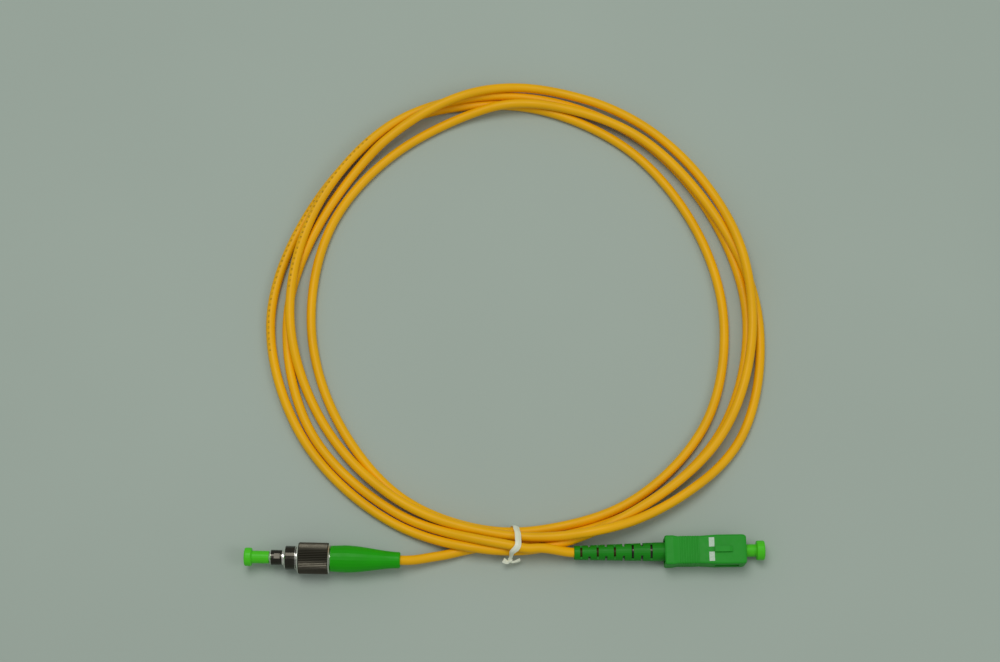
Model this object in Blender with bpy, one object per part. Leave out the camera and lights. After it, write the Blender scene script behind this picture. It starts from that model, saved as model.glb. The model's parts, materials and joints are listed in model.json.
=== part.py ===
"""A simplex fiber optic patch cord: an FC connector and an SC connector on one coiled yellow cord.

All dimensions are millimetres and become metres when a mesh is made. Each connector is built along
its own X axis, from the mouth of its boot towards the mating face, under an empty that places it.
"""

from itertools import product
from math import cos, pi, radians, sin, tan

import bmesh
import bpy
from mathutils import Vector

MM = 0.001
FACETS = 24

# Cord and coil
CORD_RADIUS = 1.5
COIL_CENTRE = (4.0, 75.9)
COIL_BOTTOM = 0.0
COIL_HEIGHT = 6.3
COIL_CORNER = 1.2
COIL_STEP = 15
# Bottom and top of the coil where the tie passes round it.
COIL_AT_TIE = (0.9, 6.5)
# Inner and outer radius of the four turns together, every 30 degrees from the tie.
COIL_INNER = (68.7, 68.2, 67.8, 65.5, 65.0, 68.3, 73.2, 69.0, 67.3, 65.2, 65.0, 67.8)
COIL_OUTER = (75.8, 78.2, 83.0, 80.0, 78.6, 80.2, 81.6, 80.6, 79.2, 81.5, 80.6, 78.6)
FC_LEAD_ROUTE = (
    (-32.0, -3.3, 4.9),
    (-28.5, -3.1, 4.3),
    (-25.0, -2.4, 2.4),
    (-21.5, -1.7, 1.6),
    (-18.2, -1.1, 1.55),
)
SC_LEAD_ROUTE = ((23.0, -0.8, 3.7), (21.5, -0.8, 3.7), (20.4, -0.78, 3.7))
ROUTE_POINTS = 9
# How far the jacket reaches into each boot, and the gap left before what it meets there.
FC_CORD_END = 12.0
SC_CORD_END = 22.0
GAP = 0.3

# Connectors: place of the boot's mouth, and the turn about Z that points the mating face outwards
FC_PLACE = (-32.7, -3.3, 4.9)
FC_TURN = 178.7
SC_PLACE = (21.7, -0.8, 3.7)
SC_TURN = 0.8

# Parts that both connectors have
FERRULE_RADIUS = 1.25
FERRULE_TILT = tan(radians(8))
FERRULE_BORE = 1.35
FLANGE_RADIUS = 2.1
TAIL_RADIUS = 1.3
SPRING_RADIUS = 1.75
SPRING_WIRE = 0.2
SPRING_TURNS = 6
BUFFER_RADIUS = 0.45
BUFFER_BORE = 0.62
YARN_RADII = (1.4, 1.7)
SLEEVE_BORE = 1.8
CAP_RADIUS = 1.98

# FC connector
FC_BOOT_LENGTH = 21.7
FC_NUT = (22.0, 32.0)
FC_NUT_RADIUS = 4.9
FC_KNURLS = 54
FC_KNURL_DEPTH = 0.22
FC_NUT_BORE = 3.85
FC_LIP_BORE = 3.15
FC_BODY_RADIUS = 3.0
FC_COLLAR = (32.4, 36.1, 3.7)
FC_NOSE = (36.5, 40.6, 2.35)
FC_FERRULE_TIP = 47.0
FC_CAP = (40.95, 46.4, 48.7)
FC_CAP_FLANGE = 2.88

# SC connector
SC_BOOT_LENGTH = 29.8
SC_SLOTS = 5
SC_SLOT_WIDTH = 0.7
SC_FIRST_SLOT = 2.2
SC_GRIP = (28.3, 53.7)
SC_WAIST = 8.7
SC_HEAD = (9.3, 7.4)
SC_RIDGES = 8
SC_RIDGE_PITCH = 0.78
SC_WINDOW = (44.0, 51.5)
SC_KEY = (43.8, 49.3)
SC_FERRULE_TIP = 55.7
SC_CAP = (49.4, 57.1, 59.7)
SC_CAP_FLANGE = 3.1
SC_CAVITY = (7.2, 6.2)
SC_PLUG = (6.9, 5.9)

# Twist tie
TIE_X = 3.6
TIE_WIDTH = 1.05
TIE_THICKNESS = 0.32
TIE_WIRE_RADIUS = 0.13
TIE_LOOP = (8.2, -0.9, 7.3)
TIE_CORNER = 1.6


def material(name, color, roughness, metallic=0.0):
    shader = bpy.data.materials.new(name)
    shader.use_nodes = True
    surface = shader.node_tree.nodes["Principled BSDF"].inputs
    surface["Base Color"].default_value = (*color, 1)
    surface["Roughness"].default_value = roughness
    surface["Metallic"].default_value = metallic
    return shader


def link(name, mesh, shader, parent):
    """Makes an object of a bmesh, shaded smooth except at its edges."""
    data = bpy.data.meshes.new(name)
    bmesh.ops.recalc_face_normals(mesh, faces=mesh.faces)
    mesh.to_mesh(data)
    mesh.free()
    data.shade_smooth()
    data.set_sharp_from_angle(angle=radians(32))
    data.materials.append(shader)
    part = bpy.data.objects.new(name, data)
    part.parent = parent
    bpy.context.scene.collection.objects.link(part)
    return part


def loft(name, rings, shader, parent=None, looped=False):
    """Joins rings of equally many points, then closes the last to the first or caps both ends."""
    mesh = bmesh.new()
    loops = [[mesh.verts.new([MM * value for value in point]) for point in ring] for ring in rings]
    pairs = list(zip(loops, loops[1:]))
    if looped:
        pairs.append((loops[-1], loops[0]))
    else:
        mesh.faces.new(loops[0])
        mesh.faces.new(loops[-1])
    for near, far in pairs:
        for i in range(len(near)):
            mesh.faces.new((near[i - 1], near[i], far[i], far[i - 1]))
    return link(name, mesh, shader, parent)


def circle(x, radius, facets=FACETS, tilt=0.0):
    angles = [2 * pi * i / facets for i in range(facets)]
    return [(x - tilt * radius * sin(a), radius * cos(a), radius * sin(a)) for a in angles]


def turned(name, outline, shader, parent, looped=True, facets=FACETS):
    """A body of revolution about X. The outline is (x, radius), closed where looped."""
    return loft(name, [circle(x, radius, facets) for x, radius in outline], shader, parent, looped)


def tube(name, start, end, bore, radius, shader, parent, chamfer=0.15):
    outline = (
        (start, bore),
        (start, radius - chamfer),
        (start + chamfer, radius),
        (end - chamfer, radius),
        (end, radius - chamfer),
        (end, bore),
    )
    return turned(name, outline, shader, parent)


def block(mesh, low, high):
    """Adds a closed box to a bmesh that holds a cutter or an added boss."""
    corners = product((low[0], high[0]), (low[1], high[1]), (low[2], high[2]))
    verts = [mesh.verts.new([MM * value for value in corner]) for corner in corners]
    for face in ((0, 1, 3, 2), (4, 6, 7, 5), (0, 4, 5, 1), (2, 3, 7, 6), (0, 2, 6, 4), (1, 5, 7, 3)):
        mesh.faces.new([verts[i] for i in face])


def combine(part, boxes, operation):
    """Cuts boxes from a part, or joins them to it."""
    mesh = bmesh.new()
    for low, high in boxes:
        block(mesh, low, high)
    tool = link(part.name + "_" + operation.lower(), mesh, part.data.materials[0], part.parent)
    tool.hide_render = True
    tool.display_type = "WIRE"
    change = part.modifiers.new(operation.title(), "BOOLEAN")
    change.operation = operation
    change.object = tool


def rounded_rectangle(x, width, height, corner, points=3):
    """A ring in the YZ plane, with its corners as arcs."""
    ring = []
    for quarter in range(4):
        side = (1, -1, -1, 1)[quarter], (1, 1, -1, -1)[quarter]
        centre = side[0] * (width / 2 - corner), side[1] * (height / 2 - corner)
        for i in range(points):
            angle = pi / 2 * (quarter + i / (points - 1))
            ring.append((x, centre[0] + corner * cos(angle), centre[1] + corner * sin(angle)))
    return ring


def empty(name, place, turn):
    holder = bpy.data.objects.new(name, None)
    holder.location = [MM * value for value in place]
    holder.rotation_euler.z = radians(turn)
    bpy.context.scene.collection.objects.link(holder)
    return holder


def ferrule(prefix, back, tip, shader, parent):
    """A ceramic ferrule with a tapered tip and an angled end face."""
    rings = [
        circle(back, FERRULE_RADIUS),
        circle(tip - 0.7, FERRULE_RADIUS),
        circle(tip, 0.85, tilt=FERRULE_TILT),
    ]
    return loft(prefix + "_ferrule", rings, shader, parent)


def ferrule_flange(prefix, tail, disc, front, shader, parent):
    pocket = disc + 0.2
    outline = (
        (tail, BUFFER_BORE),
        (tail, TAIL_RADIUS),
        (disc, TAIL_RADIUS),
        (disc, FLANGE_RADIUS),
        (front, FLANGE_RADIUS),
        (front, FERRULE_BORE),
        (pocket, FERRULE_BORE),
        (pocket, BUFFER_BORE),
    )
    return turned(prefix + "_ferrule_flange", outline, shader, parent)


def spring(prefix, start, end, shader, parent):
    """A compression spring wound about X."""
    steps = SPRING_TURNS * 9
    rings = []
    for i in range(steps + 1):
        angle = 2 * pi * SPRING_TURNS * i / steps
        x = start + SPRING_WIRE + (end - start - 2 * SPRING_WIRE) * i / steps
        ring = []
        for k in range(5):
            turn = 2 * pi * k / 5
            reach = SPRING_RADIUS + SPRING_WIRE * cos(turn)
            ring.append((x + SPRING_WIRE * sin(turn), reach * cos(angle), reach * sin(angle)))
        rings.append(ring)
    return loft(prefix + "_spring", rings, shader, parent)


def dust_cap(prefix, cap, flange_radius, shader, parent):
    """A moulded cap: a tube over the ferrule, closed by a rounded flange."""
    start, flange, end = cap
    rings = [
        circle(end - 1.2, 0.3),
        circle(end - 1.2, FERRULE_BORE),
        circle(start, FERRULE_BORE),
        circle(start, CAP_RADIUS - 0.1),
        circle(start + 0.15, CAP_RADIUS),
        circle(flange - 0.15, CAP_RADIUS),
        circle(flange, CAP_RADIUS + 0.15),
        circle(flange, flange_radius - 0.25),
        circle(flange + 0.25, flange_radius),
        circle(end - 0.45, flange_radius),
        circle(end - 0.12, flange_radius - 0.2),
        circle(end, flange_radius - 0.6),
    ]
    return loft(prefix + "_dust_cap", rings, shader, parent)


def crimp(prefix, sleeve, jacket_end, yarn_end, metal, yarn, parent):
    """The crimp sleeve over the jacket's end, and the yarn that it traps on the stem."""
    tube(prefix + "_crimp_sleeve", sleeve[0], sleeve[1], SLEEVE_BORE, sleeve[2], metal, parent)
    tube(prefix + "_aramid_yarn", jacket_end, yarn_end, *YARN_RADII, yarn, parent, chamfer=0.05)


def buffer_fiber(prefix, start, end, shader, parent):
    outline = ((start, BUFFER_RADIUS), (end, BUFFER_RADIUS))
    turned(prefix + "_buffer_fiber", outline, shader, parent, looped=False, facets=12)


def fc_boot_radius(x):
    """The boot swells in a soft S from its mouth, and closes in slightly at the nut."""
    rise = min(1.0, max(0.0, x / 17.0))
    swell = 2.55 + 1.7 * rise * rise * (3 - 2 * rise)
    return swell - 0.2 * max(0.0, (x - 17.3) / (FC_BOOT_LENGTH - 17.3))


def fc_boot(shader, parent):
    stations = [FC_BOOT_LENGTH * i / 14 for i in range(15)]
    outside = [(x, fc_boot_radius(x)) for x in stations]
    outside[0] = (0.0, 2.3)
    outside.insert(1, (0.3, 2.55))
    inside = ((FC_BOOT_LENGTH, 2.75), (16.0, 2.75), (16.0, 2.5), (7.5, 2.5), (6.5, 1.75), (0.0, 1.75))
    turned("fc_boot", (*outside, *inside), shader, parent)


def fc_bodies(metal, parent):
    """The rear body with its crimp stem, and the front body with the collar and the keyed nose."""
    rear = (
        (12.3, BUFFER_BORE + 0.05),
        (12.3, TAIL_RADIUS),
        (16.3, TAIL_RADIUS),
        (16.3, 2.6),
        (22.0, 2.6),
        (22.0, 2.2),
        (25.0, 2.2),
        (25.0, BUFFER_BORE + 0.05),
    )
    turned("fc_rear_body", rear, metal, parent)
    collar_start, collar_end, collar_radius = FC_COLLAR
    nose_start, nose_end, nose_radius = FC_NOSE
    front = (
        (22.3, 2.3),
        (22.3, FC_BODY_RADIUS),
        (collar_start, FC_BODY_RADIUS),
        (collar_start, collar_radius - 0.2),
        (collar_start + 0.2, collar_radius),
        (collar_end - 0.45, collar_radius),
        (collar_end, collar_radius - 0.45),
        (collar_end, 2.0),
        (nose_start, 2.0),
        (nose_start, nose_radius),
        (nose_end - 0.25, nose_radius),
        (nose_end, nose_radius - 0.25),
        (nose_end, 1.45),
        (35.2, 1.45),
        (35.2, 2.3),
    )
    body = turned("fc_front_body", front, metal, parent)
    combine(body, [((37.4, -0.8, 1.9), (39.2, 0.8, 2.85))], "UNION")


def fc_coupling_nut(metal, parent):
    """The knurled coupling nut: a wide bore, with a lip at the rear that the snap ring rests on."""
    start, end = FC_NUT
    points = 2 * FC_KNURLS
    stations = (
        (start, FC_LIP_BORE, 0),
        (start, FC_NUT_RADIUS - 0.45, 0),
        (start + 0.35, FC_NUT_RADIUS - 0.1, 0),
        (start + 0.6, FC_NUT_RADIUS, 1),
        (end - 0.6, FC_NUT_RADIUS, 1),
        (end - 0.35, FC_NUT_RADIUS - 0.1, 0),
        (end, FC_NUT_RADIUS - 0.45, 0),
        (end, FC_NUT_BORE, 0),
        (start + 1.3, FC_NUT_BORE, 0),
        (start + 1.3, FC_LIP_BORE, 0),
    )
    rings = []
    for x, radius, knurled in stations:
        ring = []
        for i in range(points):
            angle = 2 * pi * i / points
            reach = radius - FC_KNURL_DEPTH * knurled * (i % 2)
            ring.append((x, reach * cos(angle), reach * sin(angle)))
        rings.append(ring)
    loft("fc_coupling_nut", rings, metal, parent, looped=True)


def fc_connector(looks):
    parent = empty("fc_axis", FC_PLACE, FC_TURN)
    metal = looks["nickel"]
    fc_boot(looks["green_boot"], parent)
    crimp("fc", (8.2, 15.7, 2.3), FC_CORD_END + GAP, 15.6, metal, looks["aramid"], parent)
    fc_bodies(metal, parent)
    tube("fc_snap_ring", 23.6, 24.2, FC_LIP_BORE, 3.65, looks["spring_steel"], parent, 0.08)
    fc_coupling_nut(looks["knurled_nickel"], parent)
    spring("fc", 25.2, 32.3, looks["spring_steel"], parent)
    ferrule_flange("fc", 29.8, 32.4, 35.0, metal, parent)
    ferrule("fc", 32.7, FC_FERRULE_TIP, looks["zirconia"], parent)
    buffer_fiber("fc", FC_CORD_END + GAP, 31.0, looks["fiber"], parent)
    dust_cap("fc", FC_CAP, FC_CAP_FLANGE, looks["green_cap"], parent)


def sc_boot(shader, parent):
    """A segmented boot: slots cut in turn from above and below, and from both sides."""
    outline = (
        (0.0, 1.75),
        (0.0, 2.05),
        (0.2, 2.2),
        (24.5, 2.9),
        (25.2, 2.95),
        (SC_BOOT_LENGTH, 2.95),
        (SC_BOOT_LENGTH, 2.35),
        (17.5, 2.35),
        (17.5, 1.75),
    )
    boot = turned("sc_boot", outline, shader, parent)
    slots = []
    half = SC_SLOT_WIDTH / 2
    for i in range(2 * SC_SLOTS - 1):
        step = i / 2
        x = SC_FIRST_SLOT + 5.0 * step + 0.12 * step * step
        for side in (-1, 1):
            near, far = sorted((side * 1.0, side * 4.0))
            if i % 2 == 0:
                slots.append(((x - half, -4, near), (x + half, 4, far)))
            else:
                near, far = sorted((side * 1.45, side * 4.0))
                slots.append(((x - half, near, -4), (x + half, far, 4)))
    combine(boot, slots, "DIFFERENCE")


def sc_inner_housing(shader, parent):
    """The plug frame: a rectangular bar with round bores for the spring, the ferrule and the cap."""
    width, height = SC_PLUG
    start, end = 31.8, 53.1
    outside = [
        rounded_rectangle(start, width, height, 0.5, 6),
        rounded_rectangle(end - 0.5, width, height, 0.5, 6),
        rounded_rectangle(end, width - 0.8, height - 0.8, 0.5, 6),
    ]
    bores = ((end, 2.4), (49.0, 2.4), (49.0, 1.45), (45.0, 1.45), (45.0, 2.3), (start, 2.3))
    inside = [circle(x, radius) for x, radius in bores]
    housing = loft("sc_inner_housing", outside + inside, shader, parent, looped=True)
    latches = [((44.0, near, -1.4), (47.0, near + 1.0, 1.4)) for near in (-4.0, 3.0)]
    combine(housing, latches, "DIFFERENCE")


def sc_outer_grip(shader, parent):
    """The push-pull grip: flared rear, ridged waist, rounded front and a latch window in each side."""
    start, end = SC_GRIP
    width, height = SC_HEAD
    outline = [
        (start, 8.7, 6.9),
        (start + 0.4, 9.2, 7.4),
        (start + 2.6, 9.2, 7.4),
        (start + 4.0, SC_WAIST, 6.9),
    ]
    for i in range(SC_RIDGES):
        x = start + 4.6 + i * SC_RIDGE_PITCH
        outline += [
            (x, SC_WAIST, 6.8),
            (x + 0.25, SC_WAIST + 0.15, 7.05),
            (x + 0.5, SC_WAIST + 0.15, 7.05),
            (x + 0.62, SC_WAIST, 6.8),
        ]
    outline += [
        (start + 12.4, SC_WAIST + 0.2, 7.1),
        (start + 16.0, width, height),
        (end - 1.3, width, height),
        (end - 0.6, width - 0.25, height - 0.1),
        (end - 0.2, width - 0.7, height - 0.35),
        (end, width - 1.2, height - 0.7),
    ]
    outside = [rounded_rectangle(x, across, up, 0.55) for x, across, up in outline]
    inside = [rounded_rectangle(x, *SC_CAVITY, 0.5) for x in (end, start)]
    grip = loft("sc_outer_grip", outside + inside, shader, parent, looped=True)
    near, far = SC_WINDOW
    windows = [((near, side - 1.0, -1.5), (far, side + 1.0, 1.5)) for side in (-4.4, 4.4)]
    combine(grip, windows, "DIFFERENCE")


def sc_key(shader, parent):
    """The polarity key stands on the grip's upper face, with a sloped front."""
    start, end = SC_KEY
    base = SC_HEAD[1] / 2 + 0.05
    rings = []
    for x, top in ((start, 4.45), (end - 1.0, 4.45), (end, 4.15)):
        rings.append([(x, -1.0, base), (x, 1.0, base), (x, 0.9, top), (x, -0.9, top)])
    loft("sc_key", rings, shader, parent)


def sc_connector(looks):
    parent = empty("sc_axis", SC_PLACE, SC_TURN)
    metal = looks["nickel"]
    sc_boot(looks["green_boot"], parent)
    crimp("sc", (18.0, 26.0, 2.2), SC_CORD_END + GAP, 25.9, metal, looks["aramid"], parent)
    stop_ring = (
        (22.3, BUFFER_BORE + 0.05),
        (22.3, TAIL_RADIUS),
        (26.6, TAIL_RADIUS),
        (26.6, 2.2),
        (30.2, 2.2),
        (30.2, 2.8),
        (31.5, 2.8),
        (31.5, 2.2),
        (34.5, 2.2),
        (34.5, BUFFER_BORE + 0.05),
    )
    turned("sc_stop_ring", stop_ring, metal, parent)
    sc_inner_housing(looks["housing"], parent)
    sc_outer_grip(looks["green_grip"], parent)
    sc_key(looks["green_grip"], parent)
    spring("sc", 34.7, 42.1, looks["spring_steel"], parent)
    ferrule_flange("sc", 39.6, 42.2, 44.8, metal, parent)
    ferrule("sc", 42.5, SC_FERRULE_TIP, looks["zirconia"], parent)
    buffer_fiber("sc", SC_CORD_END + GAP, 40.9, looks["fiber"], parent)
    dust_cap("sc", SC_CAP, SC_CAP_FLANGE, looks["green_cap"], parent)


def smooth(values, position):
    """A periodic smooth curve through equally spaced values."""
    count = len(values)
    i = int(position) % count
    t = position - int(position)
    before, here, after, beyond = (values[(i + k) % count] for k in (-1, 0, 1, 2))
    slope, next_slope = (after - before) / 2, (beyond - here) / 2
    return (
        here * (1 + 2 * t) * (1 - t) ** 2
        + slope * t * (1 - t) ** 2
        + after * t * t * (3 - 2 * t)
        + next_slope * t * t * (t - 1)
    )


def cable_coil(shader):
    """The outer shape of the coil's four turns, lifted a little where the tie passes under them."""
    rings = []
    count = 360 // COIL_STEP
    for i in range(count):
        angle = 2 * pi * i / count
        inner = smooth(COIL_INNER, i * 12 / count)
        outer = smooth(COIL_OUTER, i * 12 / count)
        low, high = COIL_AT_TIE if i == 0 else (COIL_BOTTOM, COIL_BOTTOM + COIL_HEIGHT)
        section = (
            (inner, low + COIL_CORNER),
            (inner + COIL_CORNER, low),
            (outer - COIL_CORNER, low),
            (outer, low + COIL_CORNER),
            (outer, high - COIL_CORNER),
            (outer - COIL_CORNER, high),
            (inner + COIL_CORNER, high),
            (inner, high - COIL_CORNER),
        )
        x, y = COIL_CENTRE
        rings.append([(x + r * sin(angle), y - r * cos(angle), z) for r, z in section])
    loft("cable_coil", rings, shader, looped=True)


def through(route, position):
    """A point of the smooth curve through a route's points, by the four points about it."""
    i = min(int(position), len(route) - 2)
    t = position - i
    here, after = Vector(route[i]), Vector(route[i + 1])
    before = Vector(route[i - 1]) if i else 2 * here - after
    beyond = Vector(route[i + 2]) if i + 2 < len(route) else 2 * after - here
    return (
        here * (1 + 2 * t) * (1 - t) ** 2
        + (after - before) / 2 * t * (1 - t) ** 2
        + after * t * t * (3 - 2 * t)
        + (beyond - here) / 2 * t * t * (t - 1)
    )


def lead(name, route, inner_end, shader):
    """One straight-lying stretch of the cord: from inside a boot to just short of the coil."""
    curve = bpy.data.curves.new(name, "CURVE")
    curve.dimensions = "3D"
    curve.bevel_depth = CORD_RADIUS * MM
    curve.bevel_resolution = 2
    curve.use_fill_caps = True
    points = [inner_end] + [
        through(route, (len(route) - 1) * i / (ROUTE_POINTS - 1)) for i in range(ROUTE_POINTS)
    ]
    line = curve.splines.new("POLY")
    line.points.add(len(points) - 1)
    for point, place in zip(line.points, points):
        point.co = (*(MM * value for value in place), 1)
    curve.materials.append(shader)
    bpy.context.scene.collection.objects.link(bpy.data.objects.new(name, curve))


def inside_connector(place, turn, x):
    """The point on a connector's axis that lies x in from its boot's mouth."""
    return Vector((place[0] + x * cos(radians(turn)), place[1] + x * sin(radians(turn)), place[2]))


def tie_path():
    """The tie's line in its own plane: a tail, round under the bundle, back over it, and a tail."""
    inner, outer, top = TIE_LOOP
    bottom = TIE_THICKNESS + 0.02
    corners = (
        (outer + TIE_CORNER, bottom + TIE_CORNER, 180),
        (inner - TIE_CORNER, bottom + TIE_CORNER, 270),
        (inner - TIE_CORNER, top - TIE_CORNER, 0),
        (outer + TIE_CORNER, top - TIE_CORNER, 90),
    )
    line = [(outer - 3.6, 1.6), (outer - 2.0, 1.5)]
    for centre_y, centre_z, first in corners:
        for k in range(4):
            angle = radians(first + 30 * k)
            line.append((centre_y + TIE_CORNER * cos(angle), centre_z + TIE_CORNER * sin(angle)))
    return line + [(outer - 0.2, 3.2), (outer - 2.2, 2.9), (outer - 3.8, 3.3)]


def tie_rings(half_width, half_thickness, facets):
    """Elliptical rings along the tie's line, square to it."""
    line = tie_path()
    rings = []
    for i, (y, z) in enumerate(line):
        ahead, behind = line[min(i + 1, len(line) - 1)], line[max(i - 1, 0)]
        along = Vector((ahead[0] - behind[0], ahead[1] - behind[1])).normalized()
        ring = []
        for k in range(facets):
            angle = 2 * pi * k / facets
            across, out = half_width * cos(angle), half_thickness * sin(angle)
            ring.append((TIE_X + across, y + out * along.y, z - out * along.x))
        rings.append(ring)
    return rings


def twist_tie(looks):
    """A white sleeve with a wire through it, bent round the bundle."""
    outside = tie_rings(TIE_WIDTH, TIE_THICKNESS, 8)
    bore = tie_rings(TIE_WIRE_RADIUS + 0.06, TIE_WIRE_RADIUS + 0.06, 8)
    loft("tie_sleeve", outside + bore[::-1], looks["tie_plastic"], looped=True)
    loft("tie_wire", tie_rings(TIE_WIRE_RADIUS, TIE_WIRE_RADIUS, 8), looks["tie_wire"])


def looks_of_the_parts():
    return {
        "cord": material("yellow_jacket", (0.78, 0.42, 0.0), 0.42),
        "green_boot": material("green_boot", (0.02, 0.3, 0.03), 0.45),
        "green_grip": material("green_grip", (0.03, 0.3, 0.05), 0.45),
        "green_cap": material("green_cap", (0.08, 0.5, 0.03), 0.35),
        "nickel": material("nickel", (0.6, 0.57, 0.5), 0.22, 1.0),
        "knurled_nickel": material("knurled_nickel", (0.32, 0.3, 0.26), 0.35, 1.0),
        "zirconia": material("zirconia", (0.85, 0.85, 0.82), 0.2),
        "spring_steel": material("spring_steel", (0.5, 0.5, 0.5), 0.3, 1.0),
        "housing": material("plug_frame", (0.03, 0.28, 0.05), 0.45),
        "aramid": material("aramid_yarn", (0.8, 0.65, 0.2), 0.8),
        "fiber": material("buffered_fiber", (0.85, 0.85, 0.85), 0.4),
        "tie_plastic": material("tie_plastic", (0.82, 0.84, 0.76), 0.4),
        "tie_wire": material("tie_wire", (0.5, 0.5, 0.5), 0.35, 1.0),
    }


def main():
    for old in list(bpy.data.objects):
        bpy.data.objects.remove(old)
    looks = looks_of_the_parts()
    fc_connector(looks)
    sc_connector(looks)
    cable_coil(looks["cord"])
    lead("fc_lead", FC_LEAD_ROUTE, inside_connector(FC_PLACE, FC_TURN, FC_CORD_END), looks["cord"])
    lead("sc_lead", SC_LEAD_ROUTE, inside_connector(SC_PLACE, SC_TURN, SC_CORD_END), looks["cord"])
    twist_tie(looks)


main()
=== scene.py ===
"""The looks of the fiber optic patch cord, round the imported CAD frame.

Routes and sizes are millimetres, as in the CAD model, and become metres when a mesh is made. Sizes in
materials, and of the camera and the lights, are metres.
"""

import json
from math import cos, exp, pi, radians, sin

import bmesh
import bpy
import numpy as np
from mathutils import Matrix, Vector

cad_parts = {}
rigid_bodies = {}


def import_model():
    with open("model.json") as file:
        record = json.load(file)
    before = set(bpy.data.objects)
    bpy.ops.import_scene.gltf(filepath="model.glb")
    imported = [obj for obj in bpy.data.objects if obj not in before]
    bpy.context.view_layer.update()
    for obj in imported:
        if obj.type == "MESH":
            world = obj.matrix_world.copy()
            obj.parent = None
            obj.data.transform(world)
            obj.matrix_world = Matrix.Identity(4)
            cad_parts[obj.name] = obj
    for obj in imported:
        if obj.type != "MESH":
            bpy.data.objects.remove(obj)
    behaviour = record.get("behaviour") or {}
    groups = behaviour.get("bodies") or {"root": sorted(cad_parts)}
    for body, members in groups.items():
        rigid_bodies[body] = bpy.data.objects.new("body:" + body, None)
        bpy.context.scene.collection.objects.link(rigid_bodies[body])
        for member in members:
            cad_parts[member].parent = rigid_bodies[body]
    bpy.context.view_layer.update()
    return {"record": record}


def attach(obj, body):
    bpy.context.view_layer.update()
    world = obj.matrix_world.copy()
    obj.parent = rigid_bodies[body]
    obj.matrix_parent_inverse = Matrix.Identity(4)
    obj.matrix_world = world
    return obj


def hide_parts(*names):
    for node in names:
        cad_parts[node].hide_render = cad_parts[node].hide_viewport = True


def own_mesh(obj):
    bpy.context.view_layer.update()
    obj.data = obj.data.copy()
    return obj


MM = 0.001
TINY = 1e-6

# Connectors: the middle of each boot's mouth, which way the axis points, and how far in the cord reaches
FC_PLACE = np.array((-32.7, -3.3, 4.9))
FC_TURN = radians(178.7)
FC_CORD_END = 12.0
SC_PLACE = np.array((21.7, -0.8, 3.7))
SC_TURN = radians(0.8)
SC_CORD_END = 22.0

# Cord: its length in metres, and its route as in the CAD model, with depths in from the boots' mouths
CORD_LENGTH = 1.955
CORD_RADIUS = 1.5
FC_DEPTHS = (FC_CORD_END, 4.0)
FC_LEAD_ROUTE = (
    (-32.0, -3.3, 4.9),
    (-28.5, -3.1, 4.3),
    (-25.0, -2.4, 2.4),
    (-21.5, -1.7, 1.6),
    (-18.2, -1.1, 1.55),
)
INTO_COIL = ((-14.0, 0.0, 1.5), (-8.0, 1.3, 1.5), (-2.0, 2.4, 1.5))
COIL_CENTRE = np.array((4.0, 75.9))
# Each turn's radius, and which layer it lies in, at each station anticlockwise from the tie
STATION_DEGREES = 30
TURNS = (
    (
        (73.0, 73.1, 75.0, 74.6, 73.3, 75.1, 77.6, 78.7, 75.9, 73.4, 71.0, 70.8),
        (0, 0, 0, 0, 0, 0, 1, 2, 2, 2, 1, 2),
    ),
    (
        (71.7, 76.4, 81.5, 78.4, 73.6, 74.4, 74.2, 70.6, 69.0, 66.8, 66.6, 69.4),
        (2, 3, 2, 1, 1, 1, 2, 1, 0, 0, 0, 0),
    ),
    (
        (70.0, 69.9, 69.5, 67.1, 66.6, 69.9, 74.4, 78.7, 77.5, 79.9, 79.0, 77.5),
        (0, 0, 0, 0, 0, 0, 0, 0, 0, 0, 0, 1),
    ),
    (
        (76.0, 73.4, 75.8, 76.1, 77.0, 78.6, 80.0, 75.7, 72.7, 74.5, 75.8, 74.2),
        (1, 1, 1, 2, 2, 2, 3, 3, 1, 0, 0, 2),
    ),
)
LAST_STATION = (COIL_CENTRE[0], COIL_CENTRE[1] - 75.2, 5.0)
OUT_OF_COIL = ((9.5, 0.45, 4.5), (14.0, 0.1, 4.5), (18.0, -0.5, 4.3))
SC_LEAD_ROUTE = ((20.4, -0.78, 3.7), (21.5, -0.8, 3.7), (23.0, -0.8, 3.7))
SC_DEPTHS = (5.0, SC_CORD_END)
FC_LEAD_LAYER = -1
SC_LEAD_LAYER = 2
LAYER_RISE = 2.4

# How finely the cord is drawn
STEPS_PER_STATION = 24
CORD_SPACING = 1.3
CORD_SIDES = 24
CORD_SMOOTHING = 3

# How the cord settles: how near two strands may come, how far each round sinks them and how much of an
# overlap it takes away, how far apart along the cord two points are before they count as two strands,
# and how near they lie at first if they may meet
CLEARANCE = 0.04
STRAND_GAP = 2 * CORD_RADIUS + CLEARANCE
SETTLE_ROUNDS = 900
SINK = 0.016
SINK_SMOOTHING = 4
SLIDE_SHARE = 0.5
SLIDE_SMOOTHING = 40
APART_ALONG = 40
MEETING_GAP = 1.6 * STRAND_GAP
ONE_LAYER = 0.5
NO_LIFT = -9.0

# Printed ticks on the jacket, in metres along it and in turns round it
PRINT_START = 0.335
PRINT_PERIOD = 0.93
PRINT_LENGTH = 0.06
PRINT_PITCH = 0.0019
PRINT_TICK = 0.45
PRINT_TURN = 0.44
PRINT_HALF_HEIGHT = 0.035

# How far in from a boot's mouth the jacket still looks lit
LIT_DEPTH = 0.6

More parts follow.
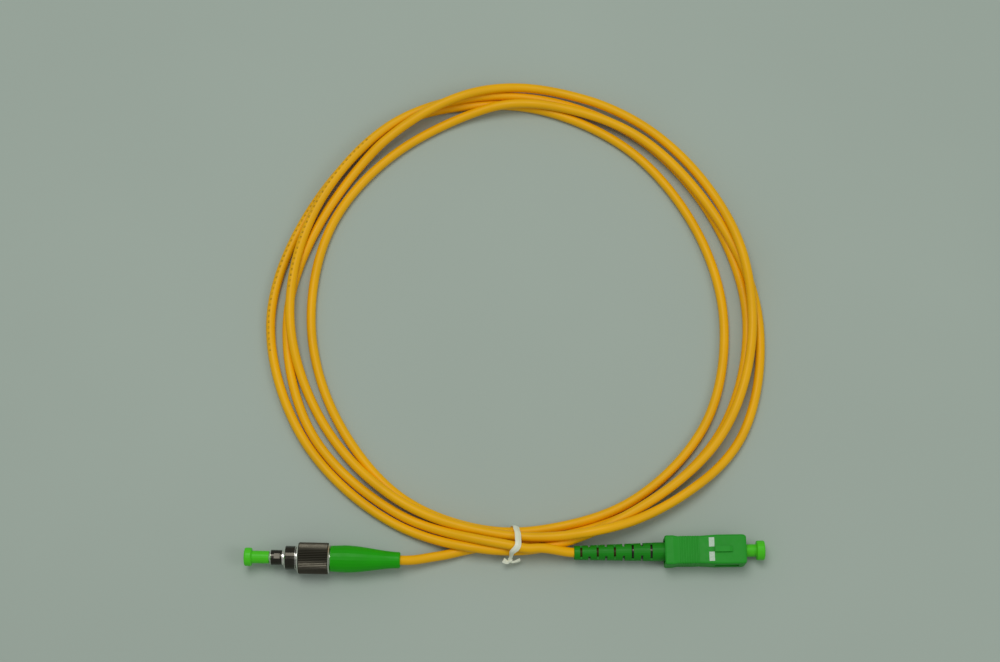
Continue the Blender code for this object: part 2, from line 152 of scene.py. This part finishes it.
# Twist tie: where it holds the bundle, how it lifts the cord over its own strip, and its cross-section
TIE_X = 2.9
TIE_LIFT = 0.8
TIE_LIFT_LENGTH = 2.5
BUNDLE_Y = 3.5
BUNDLE_REACH = 12
BUNDLE_MIDDLE = np.array((TIE_X, 3.6, 3.5))
HELD_LENGTH = 2
HELD_TO_Y = 15
TIE_GAP = 0.42
TIE_HALF_WIDTH = 1.02
TIE_EDGE = 0.14
TIE_RIB = 0.17
TIE_RIB_WIDTH = 0.35
TIE_SIDES = 20
TIE_SPACING = 0.22
TIE_SMOOTHING = 4
TIE_STEPS = 6

# Its loop: the angles it goes through, and its middle along the cord with its sway as it goes round
LOOP_DEGREES = range(200, 530, 6)
LOOP_SWAY = (2.78, 0.65, 0.9, -0.53)
LOOP_SPACING = 0.35
LOOP_SMOOTHING = 6
LOOP_KNOTS = slice(2, -2, 3)

# Its twist and its tails. The strip is folded narrow in them, and flares a little at its cut ends
TIE_TWIST = ((1.9, -2.4, 3.6), (1.5, -3.6, 2.9))
TWIST_RADIUS = 0.42
TWIST_ANGLE = 1.5 * pi
TWIST_STEPS = 8
TIE_TAILS = (((0.5, -3.6, 3.1), (-0.5, -3.0, 3.6)), ((2.9, -3.5, 2.8), (4.8, -2.8, 2.5)))
FOLDED_WIDTH = 0.45
FOLDED_LENGTH = 4.5
UNFOLDING = 0.09
FLARE_WIDTH = 0.35
FLARE_LENGTH = 1.6

# The wire in it, and how much of the wire shows past each cut end
TIE_WIRE_RADIUS = 0.13
TIE_WIRE_SIDES = 8
TIE_WIRE_SHOWS = 0.5

# Ferrule springs: rear and front end from the boot's mouth
FC_SPRING = (25.2, 32.3)
SC_SPRING = (34.7, 42.1)
SPRING_RADIUS = 1.75
SPRING_WIRE = 0.2
SPRING_SIDES = 10
SPRING_TURNS = 7.5
SPRING_STEPS = 24
SPRING_CLOSED_PITCH = 2.1 * SPRING_WIRE

# Marks printed on the upper face of the SC grip, from its boot's mouth and from its middle
SC_MARK = (0.0420, 0.0437)
SC_MARK_SIDE = (0.0008, 0.0037)
SC_MARK_ABOVE = 0.003

# Edges of the FC connector's metal parts that get a painted highlight, from its boot's mouth; and the nut's
# flutes, whose tops also get one
FC_HIGHLIGHT_EDGES = (0.0220, 0.0320, 0.0324, 0.0361, 0.0365, 0.0406)
EDGE_HIGHLIGHT_WIDTH = 0.00035
EDGE_HIGHLIGHT_CORE = 0.6 * EDGE_HIGHLIGHT_WIDTH
FC_FLUTES = 54
FLUTE_HIGHLIGHT_RAMP = (0.3, 0.42)

# Colours, linear, with the roughness of the jacket and of the table
JACKET = (0.94, 0.475, 0.0)
JACKET_ROUGHNESS = 0.42
# Painted shade for the cord where it runs inside the boots
PAINTED_BOOT_SHADE = (0.07, 0.035, 0.003)
PRINT_INK = (0.10, 0.06, 0.01)
PAD_PRINT = (0.62, 0.74, 0.62)
# Painted highlight on the tops of the FC nut's flutes
FLUTE_HIGHLIGHT_COLOR = (0.14, 0.13, 0.10)
# Painted highlight along the FC metal's edges
EDGE_HIGHLIGHT_COLOR = (0.86, 0.84, 0.78)
TABLE = (0.42, 0.492, 0.432)
TABLE_ROUGHNESS = 0.55

# Moulded and drawn pieces: colour, roughness, how fine the grain is, and other inputs of the shader
SATIN = {"Specular IOR Level": 0.22}
PLASTICS = {
    "green_boot": ((0.012, 0.38, 0.0), 0.42, 1400.0, SATIN),
    "green_sc_boot": ((0.008, 0.24, 0.006), 0.45, 1400.0, SATIN),
    "green_grip": ((0.018, 0.33, 0.02), 0.5, 1600.0, SATIN),
    "plug_frame": ((0.01, 0.12, 0.015), 0.5, 1600.0, SATIN),
    "green_cap": ((0.085, 0.68, 0.015), 0.38, 900.0, {**SATIN, "Transmission Weight": 0.08}),
    "zirconia": ((0.85, 0.85, 0.82), 0.18, 2500.0, SATIN),
    "aramid_yarn": ((0.8, 0.62, 0.2), 0.75, 2500.0, SATIN),
    "buffered_fiber": ((0.85, 0.85, 0.85), 0.4, 1500.0, SATIN),
    "tie_plastic": ((0.84, 0.87, 0.70), 0.38, 1200.0, {"Specular IOR Level": 0.5}),
}

# Plated and drawn metal: colour and roughness
METALS = {
    "nickel": ((0.055, 0.051, 0.041), 0.24),
    "knurled_nickel": ((0.042, 0.038, 0.028), 0.38),
    "spring_steel": ((0.4, 0.4, 0.38), 0.3),
    "tie_wire": ((0.5, 0.5, 0.5), 0.35),
}

# The range that most of a noise texture's values lie in
NOISE_LOW = 0.3
NOISE_HIGH = 0.7

# The sockets of a Mix node that is set to colour
MIX_FACTOR = 0
MIX_BELOW = 6
MIX_ABOVE = 7
MIX_RESULT = 2

GRAIN_STRENGTH = 0.4
SHARP_ANGLE = radians(40)

# The photo's view, a pale room, and its lights: place, diameter and power
LENS = 75.0
CLIP_START = 0.01
ELEVATION = radians(74.0)
DISTANCE = 0.6765
PICTURE_MIDDLE = Vector((-0.0015, 0.0726, 0.0))
ROOM_COLOR = (0.95, 1.0, 0.97, 1)
ROOM_STRENGTH = 0.33
PANELS = {
    "ceiling_panel": ((-0.15, 0.35, 1.1), 0.7, 4.7),
    "window_side": ((0.7, -0.2, 0.8), 0.5, 1.4),
}
LIT_MIDDLE = Vector((0, 0.06, 0))
FLOOR_HALF_SIZE = 1.5
FLOOR_SEGMENTS = 4


def spline(knots, per_knot):
    """A smooth curve through knots, per_knot points from each to the next."""
    knots = np.asarray(knots, float)
    padded = np.vstack([2 * knots[0] - knots[1], knots, 2 * knots[-1] - knots[-2]])
    t = np.arange(per_knot)[:, None] / per_knot
    pieces = []
    for before, here, after, beyond in zip(padded, padded[1:], padded[2:], padded[3:]):
        slope = (after - before) / 2
        next_slope = (beyond - here) / 2
        pieces.append(
            here * (1 + 2 * t) * (1 - t) ** 2
            + slope * t * (1 - t) ** 2
            + after * t * t * (3 - 2 * t)
            + next_slope * t * t * (t - 1)
        )
    return np.vstack(pieces + [knots[-1:]])


def distances(points):
    """How far along a line each of its points is."""
    return np.concatenate([[0], np.cumsum(np.linalg.norm(np.diff(points, axis=0), axis=1))])


def evenly(points, spacing):
    """The same line with points a fixed distance apart. Columns after the third come along with it."""
    along = distances(points[:, :3])
    marks = np.linspace(0, along[-1], int(round(along[-1] / spacing)) + 1)
    return np.column_stack([np.interp(marks, along, column) for column in points.T])


def smoothed(values, passes):
    """Each value drawn towards its neighbours' mean, with both ends held."""
    for _ in range(passes):
        middle = 0.5 * values[1:-1] + 0.25 * (values[:-2] + values[2:])
        values = np.concatenate([values[:1], middle, values[-1:]])
    return values


def directions(points):
    """Which way a line runs at each of its points."""
    ahead = np.gradient(points, axis=0)
    return ahead / np.linalg.norm(ahead, axis=1)[:, None]


def inside(place, turn, depth):
    """The point on a connector's axis that lies depth in from its boot's mouth."""
    return place + depth * np.array((cos(turn), sin(turn), 0))


def laid_route():
    """The line that the cord is laid along before it settles, and the layer of each of its points."""
    knots = [(*inside(FC_PLACE, FC_TURN, depth), FC_LEAD_LAYER) for depth in FC_DEPTHS]
    knots += [(*point, FC_LEAD_LAYER) for point in FC_LEAD_ROUTE + INTO_COIL]
    for radii, layers in TURNS:
        for i, (radius, layer) in enumerate(zip(radii, layers)):
            angle = radians(STATION_DEGREES * i)
            x, y = COIL_CENTRE + radius * np.array((sin(angle), -cos(angle)))
            knots.append((x, y, CORD_RADIUS + LAYER_RISE * layer, layer))
    knots.append((*LAST_STATION, SC_LEAD_LAYER))
    knots += [(*point, SC_LEAD_LAYER) for point in OUT_OF_COIL + SC_LEAD_ROUTE]
    knots += [(*inside(SC_PLACE, SC_TURN, depth), SC_LEAD_LAYER) for depth in SC_DEPTHS]
    return evenly(spline(knots, STEPS_PER_STATION), CORD_SPACING)


def meeting_points(points, layer):
    """Pairs of points where two strands may meet: the lower, the upper, and whether they share a layer."""
    gaps = np.linalg.norm(points[:, None, :2] - points[None, :, :2], axis=2)
    left, right = np.nonzero(np.triu(gaps < MEETING_GAP, int(APART_ALONG / CORD_SPACING)))
    swap = layer[left] > layer[right]
    lower = np.where(swap, right, left)
    upper = np.where(swap, left, right)
    return lower, upper, np.abs(layer[left] - layer[right]) < ONE_LAYER


def floor_under(points):
    """The lowest centre height at each point: the floor, or the tie's strip under the bundle."""
    near_tie = np.exp(-(((points[:, 0] - TIE_X) / TIE_LIFT_LENGTH) ** 2))
    return CORD_RADIUS + TIE_LIFT * near_tie * (np.abs(points[:, 1] - BUNDLE_Y) < BUNDLE_REACH)


def lifted(points, lower, upper, beside):
    """The points' heights, raised until each strand clears the one under it and the floor."""
    width = np.linalg.norm((points[upper] - points[lower])[:, :2], axis=1)
    rise = np.sqrt(np.maximum(STRAND_GAP**2 - width**2, 0))
    heights = points[:, 2].copy()
    np.maximum.at(heights, upper, np.where(beside, NO_LIFT, points[lower, 2] + rise))
    return np.maximum(heights, floor_under(points))


def pushed_aside(points, lower, upper, beside):
    """How far strands of one layer that lie too near push each point sideways."""
    between = (points[upper] - points[lower])[:, :2]
    width = np.linalg.norm(between, axis=1)
    level = points[upper, 2] - points[lower, 2]
    short = np.maximum(np.sqrt(np.maximum(STRAND_GAP**2 - level**2, 0)) - width, 0) * beside
    push = (between.T / np.maximum(width, TINY) * short).T
    shift = np.zeros((len(points), 2))
    share = np.ones(len(points))
    for ends, sign in ((upper, 1), (lower, -1)):
        np.add.at(shift, ends, sign * push)
        np.add.at(share, ends, short > 0)
    return SLIDE_SHARE * smoothed(shift / share[:, None], SLIDE_SMOOTHING)


def settle(route):
    """Sinks the laid cord until it rests on the floor and on itself. The ends in the boots are held."""
    points = route[:, :3].copy()
    held = np.zeros(len(points), bool)
    held[: int((FC_CORD_END + 1) / CORD_SPACING)] = True
    held[len(points) - int((SC_CORD_END + 1) / CORD_SPACING) :] = True
    start = points[held].copy()
    meetings = meeting_points(points, route[:, 3])
    for _ in range(SETTLE_ROUNDS):
        points[:, 2] = smoothed(points[:, 2], SINK_SMOOTHING) - SINK
        points[:, 2] = lifted(points, *meetings)
        points[:, :2] += pushed_aside(points, *meetings)
        points[held] = start
    return points


def finish_mesh(name, mesh):
    """Makes a smooth-shaded object of a bmesh, with its faces pointing out."""
    bmesh.ops.recalc_face_normals(mesh, faces=mesh.faces)
    data = bpy.data.meshes.new(name)
    mesh.to_mesh(data)
    mesh.free()
    data.shade_smooth()
    data.set_sharp_from_angle(angle=SHARP_ANGLE)
    piece = bpy.data.objects.new(name, data)
    bpy.context.scene.collection.objects.link(piece)
    return piece


def round_ring(centre, radius, first, second, sides):
    """Points round a centre, from the first direction towards the second."""
    angles = [2 * pi * k / sides for k in range(sides)]
    return [centre + radius * (cos(a) * first + sin(a) * second) for a in angles]


def swept_mesh(name, rings, along):
    """Joins rings along a line and caps both ends. UVs hold the distance along and the turn round."""
    sides = len(rings[0])
    mesh = bmesh.new()
    uv = mesh.loops.layers.uv.new("along_around")
    verts = [[mesh.verts.new(MM * np.asarray(point)) for point in ring] for ring in rings]
    for i in range(len(verts) - 1):
        for k in range(sides):
            n = (k + 1) % sides
            face = mesh.faces.new((verts[i][k], verts[i][n], verts[i + 1][n], verts[i + 1][k]))
            corners = ((i, k), (i, k + 1), (i + 1, k + 1), (i + 1, k))
            for loop, (row, column) in zip(face.loops, corners):
                loop[uv].uv = (along[row] * MM, column / sides)
    mesh.faces.new(verts[0])
    mesh.faces.new(verts[-1])
    return finish_mesh(name, mesh)


def tube_mesh(name, points, radius, sides):
    """A round tube along a line that is nowhere upright. Turn 0 is its underside."""
    up = np.array((0.0, 0.0, 1.0))
    rings = []
    for place, way in zip(points, directions(points)):
        across = np.cross(way, up)
        across /= np.linalg.norm(across)
        rings.append(round_ring(place, radius, -np.cross(across, way), across, sides))
    return swept_mesh(name, rings, distances(points))


class Look:
    """A material's node tree, with short calls for the nodes that the looks share."""

    def __init__(self, name, color, roughness, inputs):
        self.material = bpy.data.materials.new(name)
        self.material.use_nodes = True
        self.nodes = self.material.node_tree.nodes
        self.shader = self.nodes["Principled BSDF"]
        self.set(self.shader, **{"Base Color": (*color, 1), "Roughness": roughness}, **inputs)
        self.color = color
        self.roughness = roughness

    def set(self, node, **values):
        for name, value in values.items():
            node.inputs[name].default_value = value

    def add(self, kind, **settings):
        node = self.nodes.new(kind)
        for name, value in settings.items():
            setattr(node, name, value)
        return node

    def wire(self, out, into):
        self.material.node_tree.links.new(out, into)

    def place(self):
        return self.add("ShaderNodeTexCoord").outputs["Object"]

    def noise(self, scale, detail=3.0):
        node = self.add("ShaderNodeTexNoise")
        self.set(node, Scale=scale, Detail=detail)
        self.wire(self.place(), node.inputs["Vector"])
        return node.outputs["Fac"]

    def ramp(self, value, low, high, start=NOISE_LOW, end=NOISE_HIGH):
        """Low where the value is at start or below, high where it is at end or above."""
        node = self.add("ShaderNodeMapRange")
        self.set(node, **{"From Min": start, "From Max": end, "To Min": low, "To Max": high})
        self.wire(value, node.inputs["Value"])
        return node.outputs["Result"]

    def math(self, operation, *values):
        """A math node on numbers or on other nodes' results."""
        node = self.add("ShaderNodeMath", operation=operation)
        for socket, value in zip(node.inputs, values):
            if isinstance(value, (int, float)):
                socket.default_value = value
            else:
                self.wire(value, socket)
        return node.outputs[0]

    def between(self, value, low, high):
        """1 where a value lies from low to high, and 0 elsewhere."""
        above = self.math("GREATER_THAN", value, low)
        return self.math("MULTIPLY", above, self.math("LESS_THAN", value, high))

    def repeated(self, value, period):
        """Runs from 0 to 1 over each period of a value."""
        return self.math("FRACT", self.math("DIVIDE", value, period))

    def split(self, vector):
        node = self.add("ShaderNodeSeparateXYZ")
        self.wire(vector, node.inputs["Vector"])
        return node.outputs

    def axes(self, place, turn):
        """Object coordinates in a connector's own axes, as three values."""
        mapping = self.add("ShaderNodeMapping", vector_type="TEXTURE")
        mapping.inputs["Location"].default_value = [MM * float(value) for value in place]
        mapping.inputs["Rotation"].default_value = (0, 0, turn)
        self.wire(self.place(), mapping.inputs["Vector"])
        return self.split(mapping.outputs["Vector"])

    def paint(self, factor, color):
        """Lays a colour over the base colour made so far."""
        node = self.add("ShaderNodeMix", data_type="RGBA")
        surface = self.shader.inputs["Base Color"]
        if surface.is_linked:
            self.wire(surface.links[0].from_socket, node.inputs[MIX_BELOW])
        else:
            node.inputs[MIX_BELOW].default_value = surface.default_value
        node.inputs[MIX_ABOVE].default_value = (*color, 1)
        self.wire(factor, node.inputs[MIX_FACTOR])
        self.wire(node.outputs[MIX_RESULT], surface)

    def vary(self, scale, amount):
        """Makes the base colour drift a little lighter and darker over the surface."""
        dark = tuple(c * (1 - amount) for c in self.color)
        light = tuple(min(1.0, c * (1 + amount)) for c in self.color)
        self.set(self.shader, **{"Base Color": (*dark, 1)})
        self.paint(self.ramp(self.noise(scale), 0.0, 1.0), light)

    def rough(self, scale, spread):
        """Makes the roughness drift a little over the surface."""
        noise = self.noise(scale, detail=4.0)
        drift = self.ramp(noise, self.roughness - spread, self.roughness + spread)
        self.wire(drift, self.shader.inputs["Roughness"])

    def bump(self, height, distance, strength=GRAIN_STRENGTH):
        node = self.add("ShaderNodeBump")
        self.set(node, Strength=strength, Distance=distance)
        self.wire(height, node.inputs["Height"])
        self.wire(node.outputs["Normal"], self.shader.inputs["Normal"])


def plastic_look(name, color, roughness, grain, inputs):
    """Moulded plastic: slight drift of colour and a fine satin grain."""
    look = Look(name, color, roughness, inputs)
    look.vary(scale=90.0, amount=0.07)
    look.rough(scale=700.0, spread=0.07)
    look.bump(look.noise(grain), distance=0.00003)
    return look


def metal_look(name, color, roughness):
    """Plated metal with a slightly uneven shine."""
    look = Look(name, color, roughness, {"Metallic": 1.0})
    look.vary(scale=250.0, amount=0.12)
    look.rough(scale=500.0, spread=0.06)
    look.bump(look.noise(scale=1400.0, detail=2.0), distance=0.000006)
    return look


def jacket_look():
    """Satin yellow PVC with a faint drawn texture, a few faint printed ticks, and painted shade inside the
    boots.
    """
    look = Look("yellow_jacket", JACKET, JACKET_ROUGHNESS, SATIN)
    look.vary(scale=60.0, amount=0.05)
    along, around, _ = look.split(look.add("ShaderNodeUVMap", uv_map="along_around").outputs["UV"])
    group = look.repeated(look.math("SUBTRACT", along, PRINT_START), PRINT_PERIOD)
    in_group = look.math("LESS_THAN", group, PRINT_LENGTH / PRINT_PERIOD)
    tick = look.math("LESS_THAN", look.repeated(along, PRINT_PITCH), PRINT_TICK)
    band = look.between(around, PRINT_TURN - PRINT_HALF_HEIGHT, PRINT_TURN + PRINT_HALF_HEIGHT)
    mark = look.math("MULTIPLY", look.math("MULTIPLY", in_group, tick), band)
    worn = look.ramp(look.noise(scale=1500.0), low=0.1, high=0.6)
    look.paint(look.math("MULTIPLY", mark, worn), PRINT_INK)
    first = (FC_CORD_END - LIT_DEPTH) * MM
    last = CORD_LENGTH - (SC_CORD_END - LIT_DEPTH) * MM
    # Paints shade on the cord where it runs inside either boot
    look.paint(look.math("SUBTRACT", 1.0, look.between(along, first, last)), PAINTED_BOOT_SHADE)
    look.rough(scale=300.0, spread=0.06)
    look.bump(look.noise(scale=900.0, detail=4.0), distance=0.00004)
    return look


def print_marks(look):
    """Prints a pale mark on each side of the SC grip's key."""
    x, y, z = look.axes(SC_PLACE, SC_TURN)
    marks = look.math("MULTIPLY", look.between(x, *SC_MARK), look.math("GREATER_THAN", z, SC_MARK_ABOVE))
    marks = look.math("MULTIPLY", marks, look.between(look.math("ABSOLUTE", y), *SC_MARK_SIDE))
    worn = look.ramp(look.noise(scale=1800.0), low=0.75, high=1.0)
    look.paint(look.math("MULTIPLY", marks, worn), PAD_PRINT)


def paint_flute_highlights(look):
    """Paints a highlight on the tops of the FC nut's flutes, so the grooves between them look darker."""
    _, y, z = look.axes(FC_PLACE, FC_TURN)
    flute = look.repeated(look.math("ARCTAN2", z, y), 2 * pi / FC_FLUTES)
    ridge = look.math("ABSOLUTE", look.math("SUBTRACT", flute, 0.5))
    # Paints a lighter colour on the flute tops as a highlight
    look.paint(look.ramp(ridge, 0.0, 1.0, *FLUTE_HIGHLIGHT_RAMP), FLUTE_HIGHLIGHT_COLOR)


def paint_edge_highlights(look):
    """Paints a highlight along the machined edges of the FC connector's metal."""
    x, _, _ = look.axes(FC_PLACE, FC_TURN)
    for edge in FC_HIGHLIGHT_EDGES:
        away = look.math("ABSOLUTE", look.math("SUBTRACT", x, edge))
        # Paints a highlight colour along each edge
        look.paint(look.ramp(away, 1.0, 0.0, EDGE_HIGHLIGHT_CORE, EDGE_HIGHLIGHT_WIDTH), EDGE_HIGHLIGHT_COLOR)


def make_looks():
    looks = {name: plastic_look(name, *values) for name, values in PLASTICS.items()}
    looks.update({name: metal_look(name, *values) for name, values in METALS.items()})
    looks["yellow_jacket"] = jacket_look()
    print_marks(looks["green_grip"])
    paint_flute_highlights(looks["knurled_nickel"])
    for name in ("nickel", "knurled_nickel"):
        paint_edge_highlights(looks[name])
    return {name: look.material for name, look in looks.items()}


def dress_cad(frame, looks):
    """Gives each CAD node the detailed material of its slot."""
    for row in frame["record"]["subparts"]:
        look = "green_sc_boot" if row["node"] == "sc_boot" else row["material_slot"]
        node = bpy.data.objects[row["node"]]
        node.data.materials.clear()
        node.data.materials.append(looks[look])


def make_cord(looks):
    points = smoothed(settle(laid_route()), CORD_SMOOTHING)
    cord = tube_mesh("cord", points, CORD_RADIUS, CORD_SIDES)
    cord.data.materials.append(looks["yellow_jacket"])
    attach(cord, "cord_and_bodies")
    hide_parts("cable_coil", "fc_lead", "sc_lead")
    return points


def spring_line(start, end):
    """The centre of the spring's wire: the distance along the axis, and the angle, of each point."""
    open_length = end - start - 2 * SPRING_WIRE - 2 * SPRING_CLOSED_PITCH
    pitch = open_length / (SPRING_TURNS - 2)
    for i in range(int(SPRING_TURNS * SPRING_STEPS) + 1):
        turn = i / SPRING_STEPS
        closed = min(turn, 1.0) + max(0.0, turn - SPRING_TURNS + 1)
        x = start + SPRING_WIRE + SPRING_CLOSED_PITCH * closed + pitch * (turn - closed)
        yield x, 2 * pi * turn


def make_spring(looks, prefix, span, place, turn):
    """A compression spring with closed ends."""
    along = np.array((cos(turn), sin(turn), 0))
    aside = np.array((-sin(turn), cos(turn), 0))
    up = np.array((0, 0, 1))
    rings = []
    for x, angle in spring_line(*span):
        out = cos(angle) * aside + sin(angle) * up
        centre = place + x * along + SPRING_RADIUS * out
        rings.append(round_ring(centre, SPRING_WIRE, out, along, SPRING_SIDES))
    wire = swept_mesh(prefix + "_spring_wire", rings, np.arange(len(rings)) * SPRING_WIRE)
    wire.data.materials.append(looks["spring_steel"])
    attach(wire, "cord_and_bodies")
    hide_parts(prefix + "_spring")
    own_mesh(wire)


def round_bundle(strands):
    """The tie's loop: tight round the strands it holds, from under the twist back to over it."""
    middle, cosine, sine, double_cosine = LOOP_SWAY
    loop = []
    for degrees in LOOP_DEGREES:
        angle = radians(degrees)
        out = np.array((cos(angle), sin(angle)))
        furthest = strands[np.argmax(strands @ out)]
        y, z = furthest + (CORD_RADIUS + TIE_GAP) * out
        x = middle + cosine * cos(angle) + sine * sin(angle) + double_cosine * cos(2 * angle)
        loop.append((x, y, max(z, TIE_EDGE + TIE_RIB + CLEARANCE)))
    return smoothed(evenly(np.array(loop), LOOP_SPACING), LOOP_SMOOTHING)


def twisted(side):
    """One of the two strands that are twisted together, outwards from the bundle."""
    near, far = (np.array(end) for end in TIE_TWIST)
    strand = []
    for i in range(TWIST_STEPS + 1):
        angle = side * pi / 2 + TWIST_ANGLE * i / TWIST_STEPS
        round_axis = TWIST_RADIUS * np.array((cos(angle), 0, sin(angle)))
        strand.append(near + (far - near) * i / TWIST_STEPS + round_axis)
    return strand


def tie_line(points):
    """The tie's middle line from tail to tail, round the cord's points."""
    near = points[(np.abs(points[:, 0] - TIE_X) < HELD_LENGTH) & (points[:, 1] < HELD_TO_Y)]
    loop = round_bundle(near[:, 1:])
    first = list(reversed(TIE_TAILS[0])) + twisted(-1)[::-1]
    last = twisted(1) + list(TIE_TAILS[1])
    knots = np.array(first + list(loop[LOOP_KNOTS]) + last)
    return smoothed(evenly(spline(knots, TIE_STEPS), TIE_SPACING), TIE_SMOOTHING)


def tie_widths(line):
    """The strip's width at each point, as a share of its flat width."""
    along = distances(line)
    from_end = np.minimum(along, along[-1] - along)
    unfolded = FOLDED_WIDTH + UNFOLDING * np.maximum(0.0, from_end - FOLDED_LENGTH)
    flare = FLARE_WIDTH * np.exp(-((from_end / FLARE_LENGTH) ** 2))
    return np.minimum(1.0, unfolded) + flare


def tie_normals(line, ahead):
    """Which way the strip's flat side faces at each point, carried both ways from the middle of the loop."""
    middle = len(line) // 2
    normals = [None] * len(line)
    for steps in (range(middle, len(line)), range(middle, -1, -1)):
        normal = line[middle] - BUNDLE_MIDDLE
        for i in steps:
            normal = normal - ahead[i] * np.dot(normal, ahead[i])
            normal = normal / np.linalg.norm(normal)
            normals[i] = normal
    return normals


def strip_ring(place, across, normal, width):
    """A cross-section of the flat strip, with a raised middle over the wire."""
    ring = []
    for k in range(TIE_SIDES):
        angle = 2 * pi * k / TIE_SIDES
        rib = TIE_RIB * exp(-((cos(angle) / TIE_RIB_WIDTH) ** 2))
        out = sin(angle) * (TIE_EDGE + rib)
        ring.append(place + width * TIE_HALF_WIDTH * cos(angle) * across + out * normal)
    return ring


def make_tie_strip(looks, line, ahead, normals):
    """The white twist tie's flat plastic strip."""
    rings = []
    for place, way, normal, width in zip(line, ahead, normals, tie_widths(line)):
        rings.append(strip_ring(place, np.cross(way, normal), normal, width))
    strip = swept_mesh("twist_tie", rings, distances(line))
    strip.data.materials.append(looks["tie_plastic"])
    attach(strip, "cord_and_bodies")
    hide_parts("tie_sleeve")


def make_tie_wire(looks, line, ahead, normals):
    """The wire inside the strip, whose ends stick out of it."""
    first = line[0] - TIE_WIRE_SHOWS * ahead[0]
    last = line[-1] + TIE_WIRE_SHOWS * ahead[-1]
    line = np.vstack([first, line, last])
    rings = []
    for place, way, normal in zip(line, directions(line), [normals[0], *normals, normals[-1]]):
        across = np.cross(way, normal)
        rings.append(round_ring(place, TIE_WIRE_RADIUS, across, normal, TIE_WIRE_SIDES))
    wire = swept_mesh("twist_tie_wire", rings, distances(line))
    wire.data.materials.append(looks["tie_wire"])
    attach(wire, "cord_and_bodies")
    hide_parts("tie_wire")


def make_tie(looks, points):
    line = tie_line(points)
    ahead = directions(line)
    normals = tie_normals(line, ahead)
    make_tie_strip(looks, line, ahead, normals)
    make_tie_wire(looks, line, ahead, normals)


def table_look():
    look = Look("table", TABLE, TABLE_ROUGHNESS, {"Specular IOR Level": 0.2})
    look.vary(scale=8.0, amount=0.02)
    look.bump(look.noise(scale=1500.0, detail=2.0), distance=0.00002, strength=0.3)
    return look.material


def make_stage():
    mesh = bmesh.new()
    bmesh.ops.create_grid(mesh, x_segments=FLOOR_SEGMENTS, y_segments=FLOOR_SEGMENTS, size=FLOOR_HALF_SIZE)
    floor = finish_mesh("floor", mesh)
    floor.data.materials.append(table_look())


def make_camera():
    """Looks down steeply on the middle of the picture, from the connectors' side."""
    camera = bpy.data.objects.new("camera", bpy.data.cameras.new("camera"))
    camera.data.lens = LENS
    camera.data.clip_start = CLIP_START
    camera.location = PICTURE_MIDDLE + DISTANCE * Vector((0, -cos(ELEVATION), sin(ELEVATION)))
    camera.rotation_euler = (pi / 2 - ELEVATION, 0, 0)
    bpy.context.scene.collection.objects.link(camera)
    bpy.context.scene.camera = camera


def make_lights():
    """A pale room, a large panel behind and overhead, and a weaker one at the right."""
    world = bpy.data.worlds.new("room")
    world.use_nodes = True
    world.node_tree.nodes["Background"].inputs["Color"].default_value = ROOM_COLOR
    world.node_tree.nodes["Background"].inputs["Strength"].default_value = ROOM_STRENGTH
    bpy.context.scene.world = world
    for name, (place, size, power) in PANELS.items():
        light = bpy.data.lights.new(name, "AREA")
        light.shape = "DISK"
        light.size = size
        light.energy = power
        lamp = bpy.data.objects.new(name, light)
        lamp.location = place
        lamp.rotation_euler = (LIT_MIDDLE - Vector(place)).to_track_quat("-Z", "Y").to_euler()
        bpy.context.scene.collection.objects.link(lamp)


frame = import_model()
bpy.context.scene.view_settings.view_transform = "Standard"
make_camera()
looks = make_looks()
dress_cad(frame, looks)
cord_points = make_cord(looks)
make_tie(looks, cord_points)
make_spring(looks, "fc", FC_SPRING, FC_PLACE, FC_TURN)
make_spring(looks, "sc", SC_SPRING, SC_PLACE, SC_TURN)
make_stage()
make_lights()
